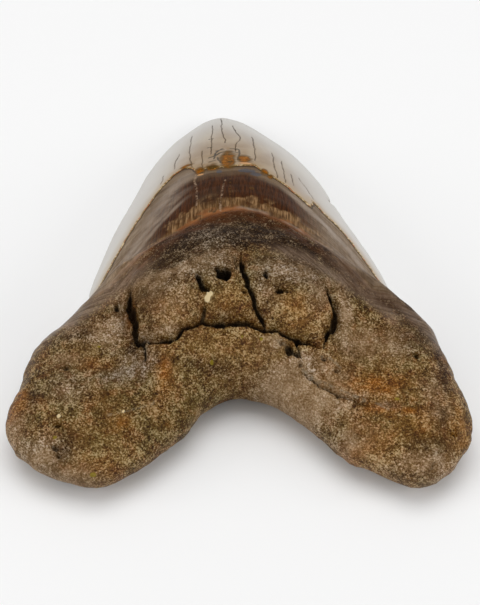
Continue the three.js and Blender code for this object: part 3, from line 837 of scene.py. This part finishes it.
def tooth_mesh():
    """The tooth's fine mesh, with the measures that its material reads as point attributes"""
    across = grid_places(*ACROSS_DETAIL)
    along = grid_places(*ALONG_DETAIL)
    x, y = plan_grid(across, along).reshape(-1, 2).T
    rim_gap, _ = distance_to_route(x, y, outline())
    u = np.tile(across, LINES)
    v = np.repeat(along, LINES)
    measures = top_measures(x, y, rim_gap)
    on_rim = (u == 0) | (u == 1) | (v == 0) | (v == 1)
    height = np.where(on_rim, rim_height(y), top_height(x, y, u, rim_gap, measures))

    index = np.arange(LINES * LINES).reshape(LINES, LINES)
    quads = np.stack([index[:-1, :-1], index[:-1, 1:], index[1:, 1:], index[1:, :-1]], -1).reshape(-1, 4)
    lower_faces, lower_places = under_faces(kept_lines(), LINES * LINES, LINES)
    lower = np.array([row * LINES + column for row, column in lower_places])
    lower_height = under_height(x[lower], y[lower], rim_gap[lower])
    lower_measures = under_measures(x[lower], y[lower])

    every = np.concatenate([np.arange(LINES * LINES), lower])
    x, y, u, v, rim_gap = (values[every] for values in (x, y, u, v, rim_gap))
    plan, nick = ragged_plan(x, y, rim_gap)
    heights = np.concatenate([height, lower_height])
    vertices = np.column_stack([fitted_to_model(plan), heights * MM])
    mesh = bpy.data.meshes.new("fossil_tooth")
    mesh.from_pydata(vertices.tolist(), [], quads.tolist() + lower_faces)
    mesh.polygons.foreach_set("use_smooth", np.ones(len(mesh.polygons), bool))

    measures = {name: np.concatenate([measures[name], lower_measures[name]]) for name in measures}
    measures |= {"across": u, "along": v, "rim_gap": rim_gap, "nick": nick}
    measures |= {name: patch_field(x, y, patches, seed) for name, (seed, patches) in PATCHES.items()}
    measures |= {name: spot_field(x, y, spots, seed) for name, (seed, spots) in SPOTS.items()}
    for name, values in measures.items():
        layer = mesh.attributes.new(name, "FLOAT", "POINT")
        layer.data.foreach_set("value", values.astype(np.float32))
    mesh.validate()
    return mesh


def linear(code):
    """Linear colour from a screen colour code"""
    parts = np.array([int(code[k:k + 2], 16) / 255 for k in (0, 2, 4)])
    light = np.where(parts <= 0.04045, parts / 12.92, ((parts + 0.055) / 1.055) ** 2.4)
    return (*light.tolist(), 1)


def new_material(name):
    """A material and its surface shader"""
    material = bpy.data.materials.new(name)
    material.use_nodes = True
    return material, material.node_tree.nodes["Principled BSDF"]


def feed(tree, node, inputs):
    """Link or set the inputs of a node"""
    for name, value in inputs.items():
        value = getattr(value, "socket", value)
        if isinstance(value, bpy.types.NodeSocket):
            tree.links.new(value, node.inputs[name])
        else:
            node.inputs[name].default_value = value


class Value:
    """A number that nodes work out, which can be added and multiplied like any other"""

    def __init__(self, look, socket):
        self.look = look
        self.socket = socket

    def __add__(self, other):
        return self.look.maths("ADD", self, other)

    def __sub__(self, other):
        return self.look.maths("SUBTRACT", self, other)

    def __rsub__(self, other):
        return self.look.maths("SUBTRACT", other, self)

    def __mul__(self, other):
        return self.look.maths("MULTIPLY", self, other)

    def __truediv__(self, other):
        return self.look.maths("DIVIDE", self, other)

    def __abs__(self):
        return self.look.maths("ABSOLUTE", self)

    def larger(self, other):
        return self.look.maths("MAXIMUM", self, other)

    def step(self, low, high):
        """0 at low, 1 at high and smooth between"""
        ends = {"Value": self, "From Min": low, "From Max": high}
        return self.look.value("ShaderNodeMapRange", ends, interpolation_type="SMOOTHSTEP")

    def spread(self, low, high):
        """A value from 0 to 1 spread from low to high"""
        return self.look.value("ShaderNodeMapRange", {"Value": self, "To Min": low, "To Max": high})

    def adjusted(self, name, strength):
        """The value multiplied by a strength where a measure is 1"""
        return self * self.look.measure(name).spread(1.0, strength)


class Look:
    """Short calls that each add a few nodes to a material"""

    def __init__(self, material):
        self.tree = material.node_tree
        object_place = self.add("ShaderNodeTexCoord").outputs["Object"]
        self.places = {
            "object": self.stretch(object_place, (1 / MM, 1 / MM, 1 / MM)),
            "arch": self.pair(self.measure("arch_place"), self.measure("bone_gap")),
            "growth": self.pair(self.measure("across"), self.measure("along")),
        }

    def add(self, kind, inputs=(), **settings):
        node = self.tree.nodes.new(kind)
        for name, value in settings.items():
            setattr(node, name, value)
        feed(self.tree, node, dict(inputs))
        return node

    def value(self, kind, inputs=(), output=0, **settings):
        return Value(self, self.add(kind, inputs, **settings).outputs[output])

    def maths(self, operation, *terms):
        return self.value("ShaderNodeMath", dict(enumerate(terms)), operation=operation)

    def measure(self, name):
        return self.value("ShaderNodeAttribute", output="Fac", attribute_name=name)

    def line(self, name):
        """1 on a fine line, falling to 0 beside it"""
        return self.measure(name).step(*FINE_LINES[name][2:])

    def stretch(self, vector, factors):
        return self.add("ShaderNodeVectorMath", {0: vector, 1: factors}, operation="MULTIPLY").outputs[0]

    def pair(self, first, second):
        return self.add("ShaderNodeCombineXYZ", {"X": first, "Y": second}).outputs[0]

    def pattern(self, name):
        """A noise from the table, as a smooth step where the table gives its ends"""
        place = next(place for place, rows in PATTERNS.items() if name in rows)
        scale, detail, roughness, *ends = PATTERNS[place][name]
        vector = self.places[place]
        if isinstance(scale, tuple):
            vector, scale = self.stretch(vector, scale), 1
        inputs = {"Vector": vector, "Scale": scale, "Detail": detail, "Roughness": roughness}
        noise = self.value("ShaderNodeTexNoise", inputs, "Fac")
        return noise.step(*ends) if ends else noise

    def mix(self, first, second, share, **settings):
        """A colour mixed towards another one, each a socket or the name of a colour"""
        first, second = (linear(COLOURS[c]) if isinstance(c, str) else c for c in (first, second))
        inputs = {0: share, 6: first, 7: second}
        return self.add("ShaderNodeMix", inputs, data_type="RGBA", **settings).outputs[2]

    def pair_of(self, name, share=None):
        """Two paired colours mixed by a share, or by the pattern of their own name"""
        first, second = (linear(code) for code in PAIRS[name])
        return self.mix(first, second, self.pattern(name) if share is None else share)

    def patch(self, colour, name):
        return self.mix(colour, name, self.measure(name) * STRENGTHS[name])

    def bump(self, height, distance, strength, below=()):
        inputs = {"Height": height, "Distance": distance, "Strength": strength, **dict(below)}
        return self.add("ShaderNodeBump", inputs).outputs["Normal"]


def grain_fields(look):
    """Height of the bone's grain, and the fine noise and broad mottle that it is made of"""
    fine = look.pattern("grain")
    mottle = look.pattern("mottle")
    cells = look.add("ShaderNodeTexVoronoi", {"Vector": look.places["object"], "Scale": 2.2})
    cell = look.value("ShaderNodeSeparateColor", {"Color": cells.outputs["Color"]})
    return mottle * 0.42 + fine + cell * 0.12, fine, mottle


def dark_bone(look, bone_gap):
    """How dark the bone is: its dark patches, and painted shade on the upper root next to the band"""
    # Painted shade on the upper root's slope next to the band, weaker at the flanks
    upper = bone_gap.step(-19.0, -8.0) * look.measure("flank").spread(0.9, 0.0)
    return look.measure("dark").larger(upper.adjusted("pale", 0.3))


def grain_shade(look, grain_height, dark):
    """How far the grain lightens or darkens the bone"""
    contrast = look.pattern("contrast").spread(0.85, 1.2)
    for name, strength in (("chalky", 1.6), ("pale", 0.45), ("rust", 0.7)):
        contrast = contrast.adjusted(name, strength)
    return (grain_height - GRAIN_LEVEL) * contrast - dark * 0.03


def grained(look, colour, shade):
    """A colour that is darker between the grains and pale on their tops, partly pale grain and partly
    painted glints
    """
    capped = look.maths("MINIMUM", shade, GRAIN_CAP)
    powers = [look.maths("POWER", base, capped) for base in GRAIN_BASES]
    grains = look.add("ShaderNodeCombineXYZ", dict(zip("XYZ", powers))).outputs[0]
    # Pale grain tops: partly real pale grain, partly painted glints
    return look.mix(look.stretch(colour, grains), "grain and glint", shade.step(0.03, 0.17) * 0.55)


def bone_colour(look, shade, satin, dark):
    """Sandy brown bone with rust, olive, ash, dark and satin parts, with painted light in the
    sand-coloured patches and painted sheen on the satin parts
    """
    # The sand-coloured patches are partly painted light on the saddle and the lobes' fronts
    colour = look.patch(look.pair_of("bone"), "sandy_and_lit")
    colour = look.mix(colour, "olive", look.pattern("olive") * 0.25)
    colour = look.mix(colour, "ruddy", look.pattern("ruddy") * 0.5)
    for name in ("rust", "ash", "pale"):
        colour = look.patch(colour, name)
    colour = look.mix(colour, "dark bone", dark)
    colour = grained(look, look.patch(colour, "chalky"), shade)
    colour = look.mix(colour, "vein", look.line("vein") * look.pattern("vein") * 0.5)
    # Satin parts: smooth bone whose lighter grey streaks are painted sheen
    smooth = look.mix(look.pair_of("satin"), "satin shade", dark * 0.5)
    return look.mix(colour, smooth, satin * 0.88)


def band_rows(look, share, ticks):
    """The band's rows from bone to enamel: a smooth lip, tan ribs, darkest brown, a grey satin arc"""
    parts = look.pattern("parts")
    arcs = look.pattern("arcs")
    ragged = share + parts.spread(0.08, -0.07)
    ribbed = look.pair_of("ribs", look.pattern("ribs") * parts.spread(0.3, 1.0))
    ribbed = look.mix(ribbed, "rib tick", ticks * 0.6)
    colour = look.mix(look.pair_of("lip", arcs), ribbed, ragged.step(0.05, 0.15))
    colour = look.mix(colour, look.pair_of("drips"), ragged.step(0.22, 0.38))
    return look.mix(colour, look.pair_of("arcs", arcs), share.step(0.72, 0.92))


def band_colour(look, share):
    """The dark band, with painted reflection as grey at both flanks and as light satin streaks"""
    ticks = look.pattern("ticks")
    # The flanks' lighter grey is painted reflection
    flank = look.mix(look.pair_of("flank"), "flank tick", ticks * 0.25)
    colour = look.mix(band_rows(look, share, ticks), flank, look.measure("flank") * 0.65)
    colour = look.mix(colour, "band shade", look.measure("dark") * 0.6)
    # Light satin streaks of painted sheen
    patchy = look.pattern("sheen").spread(0.35, 0.7)
    return look.mix(colour, "sheen", look.measure("sheen") * patchy)


def warm_arc(look, ragged):
    """A broken rusty arc where bone and band meet, weak at both flanks"""
    arc = abs(ragged + 1.6).step(4.0, 1.0) * look.pattern("warm arc").spread(0.25, 0.75)
    return arc.adjusted("flank", 0.15)


def enamel_colour(look, past_enamel):
    """Pale grey enamel with soft streaks, an amber edge, fine dark cracks, and painted reflection that
    lightens it towards its rim
    """
    tone = look.pattern("streaks") * 0.4 + look.pattern("clouds")
    colour = look.pair_of("enamel", tone.step(0.5, 0.9))
    # Painted reflection: the enamel lightens towards its rim
    colour = look.mix(colour, "enamel flank reflection", look.measure("rim_gap").step(17.0, 1.5) * 0.85)
    colour = look.mix(colour, "halo", past_enamel.step(3.5, 0.0) * 0.5)
    colour = look.patch(colour, "stain")
    uneven = look.pattern("hairline").spread(0.35, 0.95)
    colour = look.mix(colour, "hairline", look.line("hairline") * uneven)
    bold = look.pattern("cross mark").spread(0.5, 1.2)
    return look.mix(colour, "cross mark", look.line("cross_mark") * bold)


def add_fringe(look, colour, past_enamel):
    """A fine dark line and a broken light fringe with rusty flecks along the enamel's edge"""
    colour = look.mix(colour, "hairline", abs(past_enamel + 0.35).step(0.35, 0.1) * 0.7)
    fringe = abs(past_enamel - 0.1).step(0.36, 0.1) * look.pattern("fringe gaps").spread(0.3, 1.1)
    return look.mix(colour, look.mix(look.pair_of("fringe"), "fleck", look.pattern("fleck")), fringe)


def add_amber(look, colour):
    """Cloudy amber spots with light glints and a dull rim"""
    amber = look.measure("amber")
    core = look.mix(look.pair_of("amber"), "amber glint", look.pattern("amber glint"))
    core = look.mix("amber rim", core, amber.step(0.0, 0.5))
    return look.mix(colour, core, amber.step(-0.4, 0.3))


def add_marks(look, colour, past_enamel):
    """The fringe, light lines, amber and other small spots, and the nick"""
    colour = add_fringe(look, colour, past_enamel)
    lines = look.line("light_line") * look.pattern("light line")
    colour = add_amber(look, look.mix(colour, "light line", lines * 0.7))
    for name in ("blue", "peach", "ochre", "yellow"):
        colour = look.mix(colour, name, look.measure(name).step(-0.1, 0.25) * STRENGTHS[name])
    return look.mix(colour, "nick", look.measure("nick").step(0.35, 0.6))


def add_wear_and_shade(look, colour):
    """Painted shade over bone wear, cracks and holes, and the cream grains in some of them"""
    # Painted shade: troughs and the wear beside cracks and blocks are darkened
    worn_and_shaded = look.measure("worn_and_shaded").step(0.6, 2.0) * 0.45
    colour = look.mix(colour, "worn_and_shaded", worn_and_shaded, blend_type="MULTIPLY")
    # Painted shade: cracks and holes darken with their carved depth
    colour = look.mix(colour, "hollow_shade", look.measure("carved").step(0.4, 1.8) * 0.9)
    return look.mix(colour, "cream", look.measure("cream").step(-0.1, 0.2))


def coat_weight(look, on_bone, in_enamel, dark):
    """Gloss of enamel, satin streaks and light bone, none in amber, cracks and holes"""
    glossy_bone = (on_bone * dark.spread(1.0, 0.1)).adjusted("ash", 0.2)
    gloss = look.measure("sheen").larger(in_enamel.larger(glossy_bone))
    for name, low, high in (("amber", 0.1, -0.1), ("hairline", 0.1, 0.4), ("carved", 0.3, 0.05)):
        gloss = gloss * look.measure(name).step(low, high)
    return gloss.spread(0.0, 0.35)


def relief_normal(look, grain_height, on_bone, in_enamel, satin):
    """Fine grain of the rough bone and fine ribs of the dark band"""
    grain = look.bump(grain_height * ((1.0 - satin) * on_bone), 1.0 * MM, 1.0)
    in_band = (1.0 - on_bone - in_enamel).larger(0.0)
    ribs = (look.pattern("rib relief") * in_band).adjusted("flank", 0.3)
    return look.bump(ribs, 0.3 * MM, 0.6, {"Normal": grain})


def fossil_material():
    """One material that changes from bone over the dark band to enamel"""
    material, surface = new_material("fossil")
    look = Look(material)
    bone_gap = look.measure("bone_gap")
    past_enamel = look.measure("past_enamel")
    satin = look.measure("satin")
    dark = dark_bone(look, bone_gap)
    grain_height, fine, mottle = grain_fields(look)
    ragged = bone_gap + fine.spread(-1.0, 1.0) + mottle.spread(-2.0, 2.0)
    on_bone = ragged.step(0.8, -0.8)
    in_enamel = past_enamel.step(-0.05, 0.12)

    band = band_colour(look, bone_gap / (bone_gap - past_enamel).larger(0.5))
    bone = bone_colour(look, grain_shade(look, grain_height, dark), satin, dark)
    colour = look.mix(band, bone, on_bone)
    colour = look.mix(colour, "warm arc", warm_arc(look, ragged))
    colour = look.mix(colour, enamel_colour(look, past_enamel), in_enamel)
    colour = add_wear_and_shade(look, add_marks(look, colour, past_enamel))
    normal = relief_normal(look, grain_height, on_bone, in_enamel, satin)
    coat = coat_weight(look, on_bone, in_enamel, dark)
    feed(material.node_tree, surface, {
        "Base Color": colour, "Roughness": 0.5, "Specular IOR Level": 0.05, "Normal": normal,
        "Coat Weight": coat, "Coat Roughness": 0.2, "Coat Normal": normal,
    })
    return material


def add_object(name, data):
    thing = bpy.data.objects.new(name, data)
    bpy.context.scene.collection.objects.link(thing)
    return thing


def make_tooth():
    """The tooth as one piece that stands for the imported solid"""
    tooth = add_object("fossil_tooth", tooth_mesh())
    tooth.data.materials.append(fossil_material())
    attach(tooth, "root")
    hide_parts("tooth")


def make_floor():
    """A plain pale table top that isn't part of the tooth"""
    corners = [(x * FLOOR_HALF, y * FLOOR_HALF, 0) for x, y in ((-1, -1), (1, -1), (1, 1), (-1, 1))]
    mesh = bpy.data.meshes.new("floor")
    mesh.from_pydata(corners, [], [(0, 1, 2, 3)])
    material, surface = new_material("white_table")
    values = {"Base Color": (0.9, 0.9, 0.9, 1), "Roughness": 0.6, "Specular IOR Level": 0.2}
    feed(material.node_tree, surface, values)
    mesh.materials.append(material)
    add_object("floor", mesh)


def aim(thing, direction):
    """Turn a camera or lamp so that it looks along a direction"""
    thing.rotation_mode = "QUATERNION"
    thing.rotation_quaternion = direction.to_track_quat("-Z", "Y")


def make_camera():
    """The camera looks along +Y and down, with the lens that the photo's outline fits"""
    tilt = math.radians(CAMERA_TILT)
    back = Vector((0, -math.cos(tilt), math.sin(tilt)))
    camera = add_object("camera", bpy.data.cameras.new("camera"))
    camera.location = Vector(CAMERA_TARGET) * MM + back * CAMERA_DISTANCE
    aim(camera, -back)
    camera.data.lens = CAMERA_LENS
    camera.data.clip_start = 0.01
    bpy.context.scene.camera = camera


def add_softbox(name, location, size, power):
    """A rectangular lamp that faces the tooth"""
    lamp = bpy.data.lights.new(name, "AREA")
    lamp.shape = "RECTANGLE"
    lamp.size, lamp.size_y = size
    lamp.energy = power
    softbox = add_object(name, lamp)
    softbox.location = location
    aim(softbox, -Vector(location))


def make_light():
    """Soft light from a large box behind the tip, with weak fill from both sides"""
    for softbox in SOFTBOXES:
        add_softbox(*softbox)
    world = bpy.data.worlds.new("studio")
    world.use_nodes = True
    background = world.node_tree.nodes["Background"]
    background.inputs["Color"].default_value = (1, 1, 1, 1)
    background.inputs["Strength"].default_value = WORLD_STRENGTH
    bpy.context.scene.world = world
    bpy.context.scene.view_settings.view_transform = "Standard"


make_camera()
make_light()
make_floor()
make_tooth()
